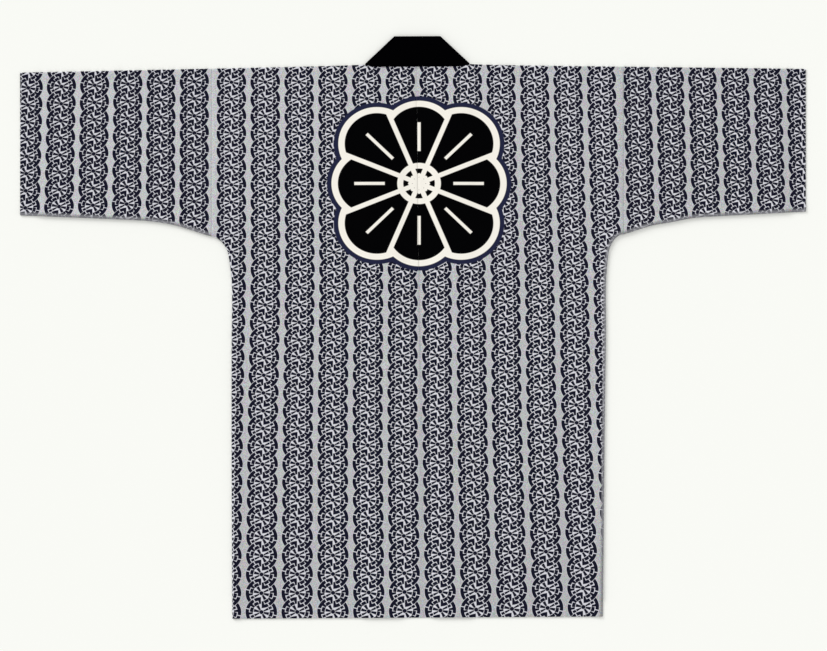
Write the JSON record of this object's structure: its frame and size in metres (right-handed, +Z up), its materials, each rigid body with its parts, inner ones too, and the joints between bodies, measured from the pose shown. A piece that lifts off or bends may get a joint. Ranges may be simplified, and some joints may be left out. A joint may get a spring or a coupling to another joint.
{
  "type": "happi coat",
  "caption": "Short straight cotton coat with wide sleeves and a band collar, laid flat with its back up.",
  "frame": {"origin": "middle of the laid coat's box, on the surface that it lies on", "axes": "+X towards the wearer's right cuff, +Y towards the collar, +Z up out of the back of the coat"},
  "size_m": [1.2502, 0.9264, 0.0047],
  "materials": {
    "print_cotton": "plain-weave cotton printed with navy wheels in columns on pale grey, matt",
    "collar_cotton": "black plain-weave cotton, matt"
  },
  "bodies": {
    "root": {"body_left": "print_cotton", "body_right": "print_cotton", "sleeve_left": "print_cotton", "sleeve_right": "print_cotton", "collar": "collar_cotton"}
  },
  "joints": []
}
